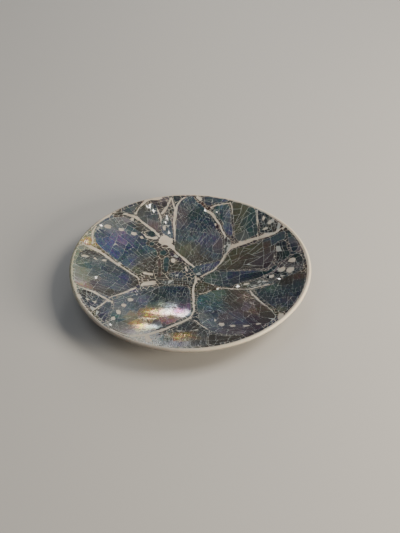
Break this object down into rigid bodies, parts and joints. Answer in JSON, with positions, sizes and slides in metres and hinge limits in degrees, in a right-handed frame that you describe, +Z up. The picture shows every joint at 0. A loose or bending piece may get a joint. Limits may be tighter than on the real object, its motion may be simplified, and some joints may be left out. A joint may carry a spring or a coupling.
{
  "type": "shell inlay bowl",
  "caption": "Shallow round bowl of cast cream resin, its inside inlaid with flattened, crackled abalone shells and shell chips.",
  "frame": {"origin": "centre of the flat round base that the bowl stands on", "axes": "+Z up, out of the bowl's mouth; +Y towards the long shell at twelve o'clock; +X towards three o'clock"},
  "size_m": [0.2199, 0.2199, 0.023],
  "materials": {
    "resin": "cast cream resin, rubbed smooth and polished",
    "nacre_brown": "iridescent brown mother-of-pearl, crushed flat and polished",
    "nacre_gold": "iridescent gold mother-of-pearl, crushed flat and polished",
    "nacre_grey": "iridescent grey mother-of-pearl, crushed flat and polished",
    "nacre_indigo": "iridescent indigo mother-of-pearl, crushed flat and polished",
    "nacre_navy": "iridescent navy mother-of-pearl, crushed flat and polished",
    "nacre_olive": "iridescent olive mother-of-pearl, crushed flat and polished",
    "nacre_slate": "iridescent slate mother-of-pearl, crushed flat and polished",
    "nacre_teal": "iridescent teal mother-of-pearl, crushed flat and polished"
  },
  "bodies": {
    "root": {"resin_bowl": "resin", "shell_12": "nacre_slate", "shell_12_tip": "nacre_slate", "shell_12_edge": "nacre_brown", "shell_12_side": "nacre_indigo", "shell_12_outer": "nacre_slate", "shell_1": "nacre_olive", "shell_1_edge": "nacre_grey", "shell_2": "nacre_olive", "shell_2_end": "nacre_slate", "shell_3_top": "nacre_teal", "shell_3": "nacre_navy", "shell_3_edge": "nacre_grey", "shell_3_end": "nacre_slate", "shell_4": "nacre_slate", "shell_5": "nacre_brown", "shell_5_sliver": "nacre_brown", "shell_6": "nacre_slate", "shell_6_sliver": "nacre_teal", "shell_7": "nacre_navy", "shell_7_edge": "nacre_slate", "shell_8": "nacre_slate", "shell_9": "nacre_slate", "shell_10": "nacre_indigo", "shell_10_outer": "nacre_grey", "shell_11_outer": "nacre_slate", "shell_11": "nacre_grey", "shell_11_teardrop": "nacre_slate", "chip_11_lilac": "nacre_grey", "chip_11_brown": "nacre_brown", "chip_12_dark": "nacre_teal", "chip_12_small": "nacre_brown", "chip_10_large": "nacre_teal", "chip_10_small": "nacre_teal", "chip_centre_brown": "nacre_brown", "chip_centre_round": "nacre_teal", "shard_centre_brown": "nacre_brown", "shard_centre_teal": "nacre_teal", "shard_centre_olive": "nacre_olive", "shard_centre_blue": "nacre_navy", "shard_centre_plum": "nacre_brown", "shard_centre_right": "nacre_olive", "shard_centre_grey": "nacre_grey", "chip_9_gold": "nacre_gold"}
  },
  "joints": []
}
